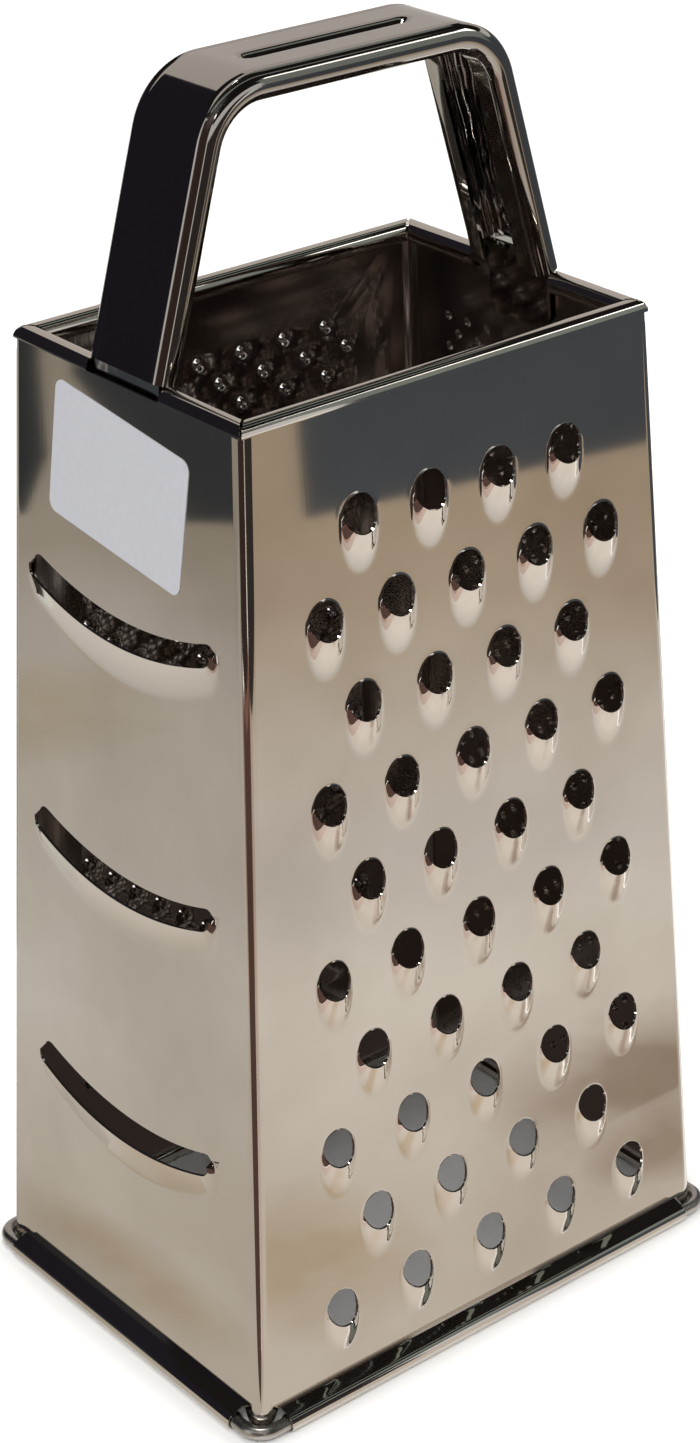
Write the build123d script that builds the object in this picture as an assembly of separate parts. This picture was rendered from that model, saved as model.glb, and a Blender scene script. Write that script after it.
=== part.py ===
from build123d import *
import math
import os

os.makedirs("parts", exist_ok=True)

# A tapered four-sided box grater, in millimetres. The origin is on the ground under the middle of
# the box, +Z is up, +X runs along the wide walls, and the coarse wall faces -Y.

# Body: outside sizes of the tapered box, carried down to the ground and up to the rim
base_length = 105.1
base_width = 77.0
rim_length = 85.6
rim_width = 61.7
rim_height = 183.2
sheet_thickness = 0.45
corner_radius = 2.2
bend_margin = 0.3  # flat sheet beside a bend, where the nodes part
seam_flange_width = 4.0

# Rolled rim
curl_diameter = 4.0
curl_turn = 290.0
curl_sides = 16
bend_curl_gap = 1.1  # between the rim curls and a folded corner
seam_curl_gap = 0.4  # between the rim curls and a seamed corner

# Base: a wire ring in the hems of the four walls
wire_diameter = 2.5
wire_bend_count = 3  # small bends in each corner of the ring
wire_clearance = 0.2
hem_rise = 0.7  # from the top of the hem's roll to the crease above it
hem_turn = 150.0  # how far the hem goes round past the wire's lowest point
hem_sides = 12
hem_corner_gap = 5.0
hem_flat_depth = 0.08  # the narrow flat on which the hems stand
notch_relief = 0.8
tip_rise = 1.0  # from the ground to the tips of the walls' corners

# Coarse wall: raised teeth in staggered rows. Each is a round hole whose lower part is lifted
# by a scoop that leans into the sheet.
coarse_row_count = 10
coarse_long_row = 5
coarse_first_row_height = 17.2  # of the scoops' roots
coarse_row_pitch = 16.1
coarse_pitch_share = 0.1665  # of the wall's width at the row
coarse_shift = 1.2
coarse_hole_radius = 3.3
coarse_hole_rise = 1.3  # from the scoop's roots to the hole's centre
coarse_tooth_length = 8.8
coarse_tooth_height = 2.2
coarse_scoop_sides = 5
coarse_hole_sides = 7

# Slicer wall: three smile-shaped slots with raised blades
slot_count = 3
slot_first_height = 48.3
slot_pitch = 47.35
slot_shift = -0.5
slot_width = 50.5
slot_opening = 3.6
slot_sag = 3.9
blade_height = 2.2
blade_drop = 7.4  # from the cutting edge to the crease, at the middle
blade_end_drop = 6.8  # from the slot's ends to the crease
blade_overhang = 0.5  # past the slot's ends
blade_flank = 3.2
blade_sides = 4

# Medium wall and fine wall: staggered rows of small teardrop holes
medium_row_count = 30
medium_long_row = 7
medium_first_row_height = 27.6
medium_row_pitch = 4.79
medium_pitch_share = 0.108  # of the wall's width at the row
medium_hole_width = 3.4
medium_hole_height = 3.6
fine_row_count = 17
fine_long_row = 9
fine_first_row_height = 24.6
fine_row_pitch = 8.88
fine_pitch_share = 0.0822
fine_hole_width = 2.2
fine_hole_height = 2.3

# Handle: one bent strap with rolled-under edges
total_height = 229.0
handle_width = 19.0
handle_depth = 4.2
handle_lip_width = 5.0
handle_thickness = 0.7
handle_roll_sides = 6
handle_fold_sides = 2  # inside the roll
handle_bend_radius = 13.0
handle_top_span = 58.6  # between the points where the top and the legs would meet
foot_bend_rise = 0.5  # from the rim to the bend above the tongue
tongue_length = 12.0
foot_notch_gap = 0.8
groove_length = 33.0
groove_width = 2.7
groove_depth = 0.5

# Paper label on the slicer wall
label_width = 36.4
label_height = 23.8
label_thickness = 0.12
label_corner_radius = 2.0
label_centre_height = 164.0
label_shift = -1.3
label_tilt = -6.8

overrun = 20.0  # how far cutting shapes run past what they cut

# Derived sizes
curl_radius = curl_diameter / 2
curl_start = rim_height - curl_radius
wire_radius = wire_diameter / 2
hem_radius = wire_radius + sheet_thickness
wire_height = hem_radius - hem_flat_depth
crease_height = wire_height + hem_radius + hem_rise
ring_offset = wire_radius + wire_clearance
foot_half_width = handle_width / 2 + foot_notch_gap


def length_at(height):
    """Outside length of the box, along X, at a height above the ground."""
    return base_length + (rim_length - base_length) * height / rim_height


def width_at(height):
    """Outside width of the box, along Y, at a height above the ground."""
    return base_width + (rim_width - base_width) * height / rim_height


class Wall:
    """One wall of the box: the way it faces, and its half sizes at any height."""

    def __init__(self, turn, span_at, reach_at):
        # turn is the angle about Z from the coarse wall, which faces -Y
        angle = math.radians(turn)
        self.out = Vector(math.sin(angle), -math.cos(angle), 0)
        self.along = Vector(math.cos(angle), math.sin(angle), 0)
        self.span_at = span_at
        self.reach_at = reach_at
        inset = (reach_at(0) - reach_at(rim_height)) / 2
        self.slope_length = math.hypot(rim_height, inset)
        self.slope_factor = self.slope_length / rim_height
        slope_up = (Vector(0, 0, 1) * rim_height - self.out * inset) * (1 / self.slope_length)
        self.face = Plane(
            origin=self.out * (reach_at(0) / 2), x_dir=self.along, z_dir=self.along.cross(slope_up)
        )
        # the section plane has X outward and Y up, and its normal runs along the wall
        self.section = Plane(origin=(0, 0, 0), x_dir=self.out, z_dir=self.out.cross(Vector(0, 0, 1)))

    def up(self, height):
        """Distance up the sloping wall to a height above the ground."""
        return height * self.slope_factor


coarse_wall = Wall(0, length_at, width_at)
fine_wall = Wall(90, width_at, length_at)
medium_wall = Wall(180, length_at, width_at)
slicer_wall = Wall(270, width_at, length_at)


def arc_points(centre, radius, start, end, sides):
    """Points along an arc, from one angle in degrees to another."""
    middle = Vector(centre)
    angles = [math.radians(start + (end - start) * step / sides) for step in range(sides + 1)]
    return [(middle.X + radius * math.cos(a), middle.Y + radius * math.sin(a)) for a in angles]


def tapered_block(inset):
    """The box's outer form, with its faces moved inward by the inset and its four bends rounded."""
    low, high = tip_rise, curl_start
    sides = []
    for wall in (coarse_wall, fine_wall):
        # the form's outline as it is seen along this wall
        reach_low = wall.reach_at(low) / 2 - inset * wall.slope_factor
        reach_high = wall.reach_at(high) / 2 - inset * wall.slope_factor
        outline = Polygon(
            (reach_low, low), (reach_high, high), (-reach_high, high), (-reach_low, low), align=None
        )
        sides.append(extrude(wall.section * outline, amount=base_length, both=True))
    block = sides[0] & sides[1]
    bends = [edge for edge in block.edges() if edge.length > (high - low) / 2]
    return fillet(bends, corner_radius - inset)


def hem_window(wall):
    """What is cut from a wall below its crease, which leaves a pointed tip at each corner."""
    tip = wall.span_at(tip_rise) / 2 - corner_radius - bend_margin
    shoulder = wall.span_at(crease_height) / 2 - hem_corner_gap + notch_relief
    outline = Polygon(
        (-tip, 0), (tip, 0), (tip, tip_rise), (shoulder, crease_height),
        (-shoulder, crease_height), (-tip, tip_rise), align=None,
    )
    middle = wall.out * (wall.reach_at(0) / 2)
    plane = Plane(origin=middle, x_dir=wall.along, z_dir=wall.out)
    return extrude(plane * outline, amount=curl_diameter, both=True)


def flat_wedge(wall):
    """The space over a wall's flat part, between its two bends."""
    low = wall.span_at(0) / 2 - corner_radius - bend_margin
    high = wall.span_at(rim_height) / 2 - corner_radius - bend_margin
    outline = Polygon((-low, 0), (low, 0), (high, rim_height), (-high, rim_height), align=None)
    plane = Plane(origin=(0, 0, 0), x_dir=wall.along, z_dir=wall.out)
    return extrude(plane * outline, amount=base_length)


def hem(wall):
    """The strip below the crease: it flares outward and rolls round the wire."""
    crease_out = wall.reach_at(crease_height) / 2
    crease = Vector(crease_out, crease_height)
    centre = Vector(wall.reach_at(0) / 2 + ring_offset, wire_height)
    to_centre = centre - crease
    distance = to_centre.length
    to_centre_angle = math.degrees(math.atan2(to_centre.Y, to_centre.X))
    # both faces of the flare are tangent to the roll
    flare_angle = to_centre_angle + math.degrees(math.asin(hem_radius / distance))
    tangent_angle = flare_angle + 90
    end_angle = -90 - hem_turn

    def on_roll(radius, degrees):
        angle = math.radians(degrees)
        return centre + Vector(math.cos(angle), math.sin(angle)) * radius

    outer_start = on_roll(hem_radius, tangent_angle)
    inner_start = on_roll(wire_radius, tangent_angle)
    flare = Vector(math.cos(math.radians(flare_angle)), math.sin(math.radians(flare_angle)))
    inner_face = crease_out - sheet_thickness * wall.slope_factor
    inner_crease = inner_start - flare * ((inner_start.X - inner_face) / flare.X)
    middle_angle = (tangent_angle + end_angle) / 2
    outline = [
        Line(crease, outer_start),
        Polyline(*arc_points(centre, hem_radius, tangent_angle, end_angle, hem_sides)),
        Line(on_roll(hem_radius, end_angle), on_roll(wire_radius, end_angle)),
        ThreePointArc(on_roll(wire_radius, end_angle), on_roll(wire_radius, middle_angle), inner_start),
        Line(inner_start, inner_crease),
        Line(inner_crease, Vector(inner_face, crease_height)),
        Line(Vector(inner_face, crease_height), crease),
    ]
    strip = extrude(
        wall.section * make_face(outline), amount=wall.span_at(0) / 2 - hem_corner_gap, both=True
    )
    ground = Pos(0, 0, -overrun / 2) * Box(2 * base_length, 2 * base_length, overrun)
    return strip - ground


def curl(wall, left_gap, right_gap):
    """The rolled top edge, mitred at its ends, with a gap to each corner."""
    centre = Vector(wall.reach_at(curl_start) / 2 - curl_radius, curl_start)
    inner = curl_radius - sheet_thickness * wall.slope_factor

    outside = arc_points(centre, curl_radius, 0, curl_turn, curl_sides)
    inside = arc_points(centre, inner, curl_turn, 0, curl_sides // 2)
    outline = Polyline(*outside, *inside, close=True)
    half = wall.span_at(curl_start) / 2
    roll = extrude(wall.section * make_face(outline), amount=half, both=True)
    # seen from above, a mitred strip as deep as the curl
    deep = curl_diameter
    reach = wall.reach_at(curl_start) / 2
    plan = Polygon(
        (-half + left_gap, 0), (half - right_gap, 0), (half - 2 * right_gap, right_gap),
        (half - deep - right_gap, deep), (-half + deep + left_gap, deep),
        (-half + 2 * left_gap, left_gap), align=None,
    )
    plane = Plane(origin=wall.out * reach, x_dir=wall.along, z_dir=(0, 0, 1))
    strip = extrude(plane * plan, amount=rim_height + overrun, both=True)
    return roll & strip


def seam_flange(wall, side):
    """A narrow strip inside a wall, along the seam at one of its ends."""
    top = curl_start - curl_radius - sheet_thickness
    bottom = crease_height + hem_rise
    corner_low = wall.span_at(bottom) / 2
    corner_high = wall.span_at(top) / 2
    deep = corner_radius + seam_flange_width
    outline = Polygon(
        (side * corner_low, wall.up(bottom)),
        (side * (corner_low - deep), wall.up(bottom)),
        (side * (corner_high - deep), wall.up(top)),
        (side * corner_high, wall.up(top)),
        align=None,
    )
    strip = extrude(wall.face.offset(-sheet_thickness) * outline, amount=-sheet_thickness)
    # its root ends in the middle of the bend's sheet
    return strip & tapered_block(sheet_thickness / 2)


def staggered(wall, row_count, long_row, first_height, row_pitch, pitch_share):
    """Places of staggered holes: long and short rows take turns, spread by the wall's taper."""
    places = []
    for row in range(row_count):
        height = first_height + row * row_pitch
        count = long_row - row % 2
        pitch = pitch_share * wall.span_at(height)
        for column in range(count):
            places.append(((column - (count - 1) / 2) * pitch, wall.up(height)))
    return places


def leaning_scoop(arch, lean):
    """A solid under an arch that stands on the face of a wall, drawn down until it sinks in."""
    deep = 2 * sheet_thickness
    outline = Polyline(*arch, (arch[-1][0], -deep), (arch[0][0], -deep), close=True)
    return extrude(Plane.XZ * make_face(outline), amount=lean.length, dir=lean)


def teeth(wall, sheet):
    """Raise the coarse teeth: a leaning scoop of sheet below each round hole."""
    root = math.sqrt(coarse_hole_radius ** 2 - coarse_hole_rise ** 2)
    arch_radius = (root ** 2 + coarse_tooth_height ** 2) / (2 * coarse_tooth_height)
    arch_centre = coarse_tooth_height - arch_radius
    steps = range(coarse_scoop_sides + 1)
    stations = [-root * math.cos(math.pi * step / coarse_scoop_sides) for step in steps]
    arch = [(x, arch_centre + math.sqrt(arch_radius ** 2 - x ** 2)) for x in stations]
    scoop = leaning_scoop(arch, Vector(0, -coarse_tooth_length, -coarse_tooth_height))
    lip = split(scoop, bisect_by=Plane.XY, keep=Keep.TOP)
    hollow = Pos(0, 0, -sheet_thickness) * scoop
    # the hole's lower edge has its corners at the scoop's ridges
    lower = [(x, coarse_hole_rise - math.sqrt(coarse_hole_radius ** 2 - x ** 2)) for x in stations]
    root_angle = math.degrees(math.asin(coarse_hole_rise / coarse_hole_radius))
    upper = arc_points(
        (0, coarse_hole_rise), coarse_hole_radius, -root_angle, 180 + root_angle, coarse_hole_sides
    )
    hole = make_face(Polyline(*lower, *upper[1:-1], close=True))
    mouth = extrude(hole, amount=coarse_tooth_height + sheet_thickness, both=True)
    places = staggered(
        wall, coarse_row_count, coarse_long_row, coarse_first_row_height,
        coarse_row_pitch, coarse_pitch_share,
    )
    spots = [wall.face * Pos(coarse_shift + x, y, 0) for x, y in places]
    raised = sheet + [spot * lip for spot in spots]
    hollowed = raised - [spot * hollow for spot in spots]
    return hollowed - [spot * mouth for spot in spots]


def slots(wall, sheet):
    """Raise the slicing blades: sheet that leans out below each curved slot, closed at its ends."""
    half = (slot_width - slot_opening) / 2
    smile_radius = (half ** 2 + slot_sag ** 2) / (2 * slot_sag)
    # the blade's form at the slot's ends, from which it leans into the sheet
    slope = blade_height / blade_drop
    drop = blade_drop + slot_sag + slot_opening / 2
    arc = RadiusArc((-half, 0), (half, 0), -smile_radius)
    opening = extrude(SlotArc(arc, slot_opening), amount=drop, both=True)
    reach = slot_width / 2 + blade_overhang
    shoulder = reach - blade_flank
    stations = [shoulder * (2 * step / blade_sides - 1) for step in range(blade_sides + 1)]
    drops = [drop - (drop - blade_end_drop) * (x / shoulder) ** 2 for x in stations]
    crest = [(x, fall * slope) for x, fall in zip(stations, drops)]
    scoop = leaning_scoop([(-reach, 0), *crest, (reach, 0)], Vector(0, -drop, -drop * slope))
    scoop = scoop - Pos(0, smile_radius - slot_sag) * Cylinder(smile_radius, 2 * drop)
    blade = split(scoop, bisect_by=Plane.XY, keep=Keep.TOP)
    hollow = Pos(0, 0, -sheet_thickness) * scoop
    for row in range(slot_count):
        spot = wall.face * Pos(slot_shift, wall.up(slot_first_height + row * slot_pitch), 0)
        sheet = sheet + spot * blade
        sheet = sheet - spot * hollow
        sheet = sheet - spot * opening
    return sheet


def teardrops(wall, sheet, places, width, height):
    """Punch small pointed holes through a wall, all at once."""
    drop = make_face(Polyline((-width / 2, 0), (0, -height), (width / 2, 0), close=True))
    punches = [
        extrude(wall.face * Pos(x, y + height / 2, 0) * drop, amount=2 * sheet_thickness, both=True)
        for x, y in places
    ]
    return sheet - punches


def foot_notch(wall):
    """The gap in a narrow wall's curl, where a handle leg enters."""
    block = Box(curl_diameter + overrun, 2 * foot_half_width, 2 * curl_diameter)
    return Pos(wall.out * (wall.reach_at(rim_height) / 2) + Vector(0, 0, rim_height)) * block


def wire_ring():
    """The closed wire ring in the hems, bare at the corners."""
    length = base_length / 2 - corner_radius
    width = base_width / 2 - corner_radius
    quarter_turn = math.degrees(math.pi / 2)
    turn = quarter_turn / wire_bend_count
    # the bends lie where the short runs round each corner meet
    reach = (corner_radius + ring_offset) / math.cos(math.radians(turn / 2))
    corners = ((length, width), (-length, width), (-length, -width), (length, -width))
    points = [(base_length / 2 + ring_offset, 0)]
    for quarter, corner in enumerate(corners):
        first = quarter * quarter_turn + turn / 2
        last = first + quarter_turn - turn
        points += arc_points(corner, reach, first, last, wire_bend_count - 1)
    path = Pos(0, 0, wire_height) * Polyline(*points, close=True)
    section = Plane(origin=path @ 0, z_dir=path % 0) * Circle(wire_radius)
    return sweep(section, path=path, transition=Transition.RIGHT)


def strap_section():
    """The strap's section, in X across and Y inward: a web whose edges are rolled under."""
    roll = handle_depth / 2
    edge = handle_width / 2 - roll
    lip_end = handle_width / 2 - handle_lip_width
    fold = roll - handle_thickness
    outside = arc_points((edge, roll), roll, -90, 90, handle_roll_sides)
    inside = arc_points((edge, roll), fold, 90, -90, handle_fold_sides)
    lip = [(lip_end, handle_depth), (lip_end, handle_depth - handle_thickness)]
    right = outside + lip + inside
    left = [(-x, y) for x, y in reversed(right)]
    return make_face(Polyline(*right, *left, close=True))


def tongue_reach_at(height):
    """Outer face of a tongue, which lies against the inner face of a narrow wall."""
    return length_at(height) / 2 - sheet_thickness * fine_wall.slope_factor


def handle():
    """The strap: two splayed legs and a flat top with a groove pressed into it."""
    foot_height = rim_height + foot_bend_rise
    foot_reach = tongue_reach_at(foot_height)
    corner = handle_top_span / 2
    path = FilletPolyline(
        (-foot_reach, 0, foot_height), (-corner, 0, total_height),
        (corner, 0, total_height), (foot_reach, 0, foot_height), radius=handle_bend_radius,
    )
    # the section's Y points to the inside of the bend
    inward = Vector(0, 1, 0).cross(path % 0)
    section = Plane(origin=path @ 0, x_dir=(0, 1, 0), z_dir=Vector(0, 1, 0).cross(inward)) * strap_section()
    strap = sweep(section, path=path)
    # the groove stands out underneath
    top = Pos(0, 0, total_height)
    bead = SlotOverall(groove_length + 2 * handle_thickness, groove_width + 2 * handle_thickness)
    groove = SlotOverall(groove_length, groove_width)
    strap = strap + top * extrude(bead, amount=-handle_thickness - groove_depth)
    return strap - top * extrude(groove, amount=-groove_depth)


def handle_tongues():
    """The flat ends of the strap, which run down inside the narrow walls."""
    foot_height = rim_height + foot_bend_rise
    tongue_end = foot_height - tongue_length
    outer_top = tongue_reach_at(foot_height)
    outer_low = tongue_reach_at(tongue_end)
    web = handle_width / 2 - handle_depth / 2
    outline = Polygon(
        (outer_top, foot_height), (outer_low, tongue_end),
        (outer_low - handle_thickness, tongue_end), (outer_top - handle_thickness, foot_height),
        align=None,
    )
    right = extrude(Plane.XZ * outline, amount=web, both=True)
    return [right, mirror(right, about=Plane.YZ)]


def label():
    """The paper label, on the slicer wall below the rim."""
    outline = RectangleRounded(label_width, label_height, label_corner_radius)
    centre = Pos(label_shift, slicer_wall.up(label_centre_height), 0)
    return slicer_wall.face * centre * Rot(0, 0, label_tilt) * extrude(outline, amount=label_thickness)


walls = (coarse_wall, fine_wall, medium_wall, slicer_wall)
shell = tapered_block(0) - tapered_block(sheet_thickness) - [hem_window(wall) for wall in walls]
slicer = shell & flat_wedge(slicer_wall)
fine = shell & flat_wedge(fine_wall)
wide_walls = shell - [flat_wedge(slicer_wall), flat_wedge(fine_wall)]
coarse, medium = wide_walls.solids().sort_by(Axis.Y)

coarse = coarse + hem(coarse_wall) + curl(coarse_wall, bend_curl_gap, seam_curl_gap)
coarse = coarse + seam_flange(fine_wall, -1)
coarse = teeth(coarse_wall, coarse)

medium = medium + hem(medium_wall) + curl(medium_wall, bend_curl_gap, seam_curl_gap)
medium = medium + seam_flange(slicer_wall, -1)
medium_places = staggered(
    medium_wall, medium_row_count, medium_long_row, medium_first_row_height,
    medium_row_pitch, medium_pitch_share,
)
medium = teardrops(medium_wall, medium, medium_places, medium_hole_width, medium_hole_height)

slicer = slicer + hem(slicer_wall)
slicer = slicer + (curl(slicer_wall, seam_curl_gap, bend_curl_gap) - foot_notch(slicer_wall))
slicer = slots(slicer_wall, slicer)

fine = fine + hem(fine_wall)
fine = fine + (curl(fine_wall, seam_curl_gap, bend_curl_gap) - foot_notch(fine_wall))
fine_places = staggered(
    fine_wall, fine_row_count, fine_long_row, fine_first_row_height, fine_row_pitch, fine_pitch_share
)
fine = teardrops(fine_wall, fine, fine_places, fine_hole_width, fine_hole_height)

nodes = {
    "coarse_wall": coarse,
    "medium_wall": medium,
    "slicer_wall": slicer,
    "fine_wall": fine,
    "base_wire": wire_ring(),
    "handle": handle() + handle_tongues(),
    "label": label(),
}
for name, solid in nodes.items():
    export_step(solid, f"parts/{name}.step")
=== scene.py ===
import math

import bpy
from mathutils import Matrix, Vector


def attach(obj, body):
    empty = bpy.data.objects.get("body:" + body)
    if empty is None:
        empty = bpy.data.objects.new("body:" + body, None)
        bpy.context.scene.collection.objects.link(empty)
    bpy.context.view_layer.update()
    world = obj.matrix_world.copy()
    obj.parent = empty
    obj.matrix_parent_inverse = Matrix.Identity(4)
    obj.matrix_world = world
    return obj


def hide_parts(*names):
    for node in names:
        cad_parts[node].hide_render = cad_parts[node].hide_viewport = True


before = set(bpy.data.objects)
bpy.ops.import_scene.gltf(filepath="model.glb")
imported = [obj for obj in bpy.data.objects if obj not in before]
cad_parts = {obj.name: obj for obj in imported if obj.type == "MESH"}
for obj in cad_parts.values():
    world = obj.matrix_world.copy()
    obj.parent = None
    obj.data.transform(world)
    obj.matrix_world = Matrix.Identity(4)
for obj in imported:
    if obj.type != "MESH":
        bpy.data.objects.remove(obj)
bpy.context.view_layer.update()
scene = bpy.context.scene
mm = 0.001
print("frame loaded")

# the box: thin stainless sheet, bent and rolled
body = {
    "baseLength": 105.1, "baseWidth": 77.0,  # outside, at the ground
    "rimLength": 85.6, "rimWidth": 61.7,
    "rimHeight": 183.2, "sheet": 0.45,
    "bendRadius": 2.2, "bendMargin": 0.3, "bendSteps": 9,
    "curlRadius": 2.0, "curlTurn": 290, "curlSteps": 26,
    "bendGap": 0.35, "seamGap": 0.4,  # from the curls to a folded and to a seamed corner
    "wireRadius": 1.25, "wireClearance": 0.2,
    "hemRise": 0.7, "hemTurn": 150, "hemSteps": 24, "hemGap": 5.0, "hemFlat": 0.08,
    "tipRise": 1.0, "notchRelief": 0.8, "flangeWidth": 4.0, "flangeOverlap": 0.8,
}
turns = {"coarse": 0, "fine": 90, "medium": 180, "slicer": 270}
curlStart = body["rimHeight"] - body["curlRadius"]
hemRadius = body["wireRadius"] + body["sheet"]
wireHeight = hemRadius - body["hemFlat"]
creaseHeight = wireHeight + hemRadius + body["hemRise"]
ringOffset = body["wireRadius"] + body["wireClearance"]


def lengthAt(z):
    # the box tapers evenly from the ground to the rim
    return body["baseLength"] + (body["rimLength"] - body["baseLength"]) * z / body["rimHeight"]


def widthAt(z):
    return body["baseWidth"] + (body["rimWidth"] - body["baseWidth"]) * z / body["rimHeight"]


def isWide(wall):
    return wall in ("coarse", "medium")


def spanAt(wall, z):
    return lengthAt(z) if isWide(wall) else widthAt(z)


def reachAt(wall, z):
    return (widthAt(z) if isWide(wall) else lengthAt(z)) / 2


def directions(wall):
    turn = math.radians(turns[wall])
    out = Vector((math.sin(turn), -math.cos(turn), 0))
    along = Vector((math.cos(turn), math.sin(turn), 0))
    return out, along


def slopeOf(wall):
    inset = reachAt(wall, 0) - reachAt(wall, body["rimHeight"])
    return math.hypot(body["rimHeight"], inset) / body["rimHeight"]


def faceMatrix(wall):
    # the wall's own plane: X along it, Y up its slope, Z out of the box
    out, along = directions(wall)
    inset = reachAt(wall, 0) - reachAt(wall, body["rimHeight"])
    upward = (Vector((0, 0, body["rimHeight"])) - out * inset).normalized()
    normal = along.cross(upward)
    turned = Matrix((along, upward, normal)).transposed().to_4x4()
    return Matrix.Translation(out * reachAt(wall, 0) * mm) @ turned


# small modelling helpers
def deselectAll():
    bpy.ops.object.select_all(action="DESELECT")


def choose(piece):
    deselectAll()
    piece.select_set(True)
    bpy.context.view_layer.objects.active = piece


def draw(name, points, closed=False):
    # a row of points in millimetres, joined by edges
    mesh = bpy.data.meshes.new(name)
    links = [(i, i + 1) for i in range(len(points) - 1)]
    if closed:
        links.append((len(points) - 1, 0))
    mesh.from_pydata([Vector(p) * mm for p in points], links, [])
    piece = bpy.data.objects.new(name, mesh)
    scene.collection.objects.link(piece)
    choose(piece)
    return piece


def edit(piece):
    choose(piece)
    bpy.ops.object.mode_set(mode="EDIT")
    bpy.ops.mesh.select_mode(type="VERT")
    bpy.ops.mesh.select_all(action="SELECT")


def leave():
    bpy.ops.object.mode_set(mode="OBJECT")


def pull(vector):
    # extrudes what is selected, in millimetres
    bpy.ops.mesh.extrude_region_move(TRANSFORM_OT_translate={"value": Vector(vector) * mm})


def fillIn(piece):
    # one face inside a closed row of points
    edit(piece)
    bpy.ops.mesh.edge_face_add()
    leave()


def trim(point, normal):
    # cuts away what lies beyond a plane
    bpy.ops.mesh.select_all(action="SELECT")
    bpy.ops.mesh.bisect(plane_co=Vector(point) * mm, plane_no=normal, clear_outer=True)


def faceOutward(piece, test):
    # one-sided sheet: its faces agree, and the biggest one passes the test
    edit(piece)
    bpy.ops.mesh.normals_make_consistent(inside=False)
    leave()
    biggest = max(piece.data.polygons, key=lambda face: face.area)
    if not test(biggest):
        piece.data.flip_normals()


def joined(name, pieces):
    deselectAll()
    for piece in pieces:
        piece.select_set(True)
    bpy.context.view_layer.objects.active = pieces[0]
    bpy.ops.object.join()
    whole = bpy.context.view_layer.objects.active
    whole.name = name
    whole.data.name = name
    return whole


def thicken(piece, thickness):
    # the inner side gets the second material
    piece.data.materials.append(None)
    piece.data.materials.append(None)
    choose(piece)
    solid = piece.modifiers.new("sheet", "SOLIDIFY")
    solid.material_offset = 1
    solid.thickness = thickness * mm
    solid.offset = -1
    solid.use_even_offset = True
    solid.thickness_clamp = 1.5
    bpy.ops.object.modifier_apply(modifier="sheet")


def smooth(piece, degrees=38):
    choose(piece)
    bpy.ops.object.shade_smooth_by_angle(angle=math.radians(degrees))


def arcAngles(first, last, steps):
    # the first and last steps are short, so that the shading runs on into the flat
    short = (last - first) / steps / 5
    rest = last - first - 2 * short
    inner = [first + short + rest * i / (steps - 2) for i in range(steps - 1)]
    return [first] + inner + [last]


def arc(centre, radius, angles):
    turned = [math.radians(angle) for angle in angles]
    return [(centre[0] + radius * math.cos(a), centre[1] + radius * math.sin(a)) for a in turned]


# rolled rim: its ends are cut to the mitre of the corners
def makeCurl(wall, leftGap, rightGap, notch=0):
    out, along = directions(wall)
    reach = reachAt(wall, curlStart)
    half = spanAt(wall, curlStart) / 2
    centre = (reach - body["curlRadius"], curlStart)
    section = arc(centre, body["curlRadius"], arcAngles(0, body["curlTurn"], body["curlSteps"]))
    points = [out * u + Vector((0, 0, z)) - along * half for u, z in section]
    curl = draw("curl", points)
    edit(curl)
    pull(along * 2 * half)
    corner = out * reach
    trim(corner - along * (half - leftGap), -along - out)
    trim(corner + along * (half - rightGap), along - out)
    leave()
    middle = out * centre[0] + Vector((0, 0, centre[1]))
    faceOutward(curl, lambda face: (face.center / mm - middle).dot(face.normal) > 0)
    if not notch:
        return [curl]
    # the gap where a handle leg enters
    other = curl.copy()
    other.data = curl.data.copy()
    scene.collection.objects.link(other)
    edit(curl)
    trim(-along * notch, along)
    leave()
    edit(other)
    trim(along * notch, -along)
    leave()
    return [curl, other]


# hem: flares out from the crease and rolls round the wire
def makeHem(wall):
    out, along = directions(wall)
    crease = Vector((reachAt(wall, creaseHeight), creaseHeight))
    centre = Vector((reachAt(wall, 0) + ringOffset, wireHeight))
    toCentre = centre - crease
    tangent = math.asin(hemRadius / toCentre.length)
    flare = math.degrees(math.atan2(toCentre.y, toCentre.x) + tangent)
    angles = arcAngles(flare + 90, -90 - body["hemTurn"], body["hemSteps"])
    section = [tuple(crease)] + arc(centre, hemRadius, angles)
    half = spanAt(wall, 0) / 2 - body["hemGap"]
    points = [out * u + Vector((0, 0, max(z, 0))) - along * half for u, z in section]
    hem = draw("hem", points)
    edit(hem)
    pull(along * 2 * half)
    leave()
    faceOutward(hem, lambda face: face.normal.dot(out) + face.normal.z > 0)
    return hem


# a folded corner: a narrow rounded strip from the tip at the ground up to the rim
def makeBend(sideX, sideY):
    radius = body["bendRadius"]
    angles = arcAngles(0, 90, body["bendSteps"])

    def plan(z):
        x = lengthAt(z) / 2 - radius
        y = widthAt(z) / 2 - radius
        rounded = [(x + u, y + v) for u, v in arc((0, 0), radius, angles)]
        margin = body["bendMargin"]
        whole = [(x + radius, y - margin)] + rounded + [(x - margin, y + radius)]
        return [Vector((sideX * u, sideY * v, z)) for u, v in whole]

    low, high = plan(body["tipRise"]), plan(curlStart)
    bend = draw("bend", low)
    edit(bend)
    pull((0, 0, curlStart - body["tipRise"]))
    leave()
    for vertex in bend.data.vertices[len(low):]:
        vertex.co = high[vertex.index - len(low)] * mm
    faceOutward(bend, lambda face: face.normal.x * sideX + face.normal.y * sideY > 0)
    return bend


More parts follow.
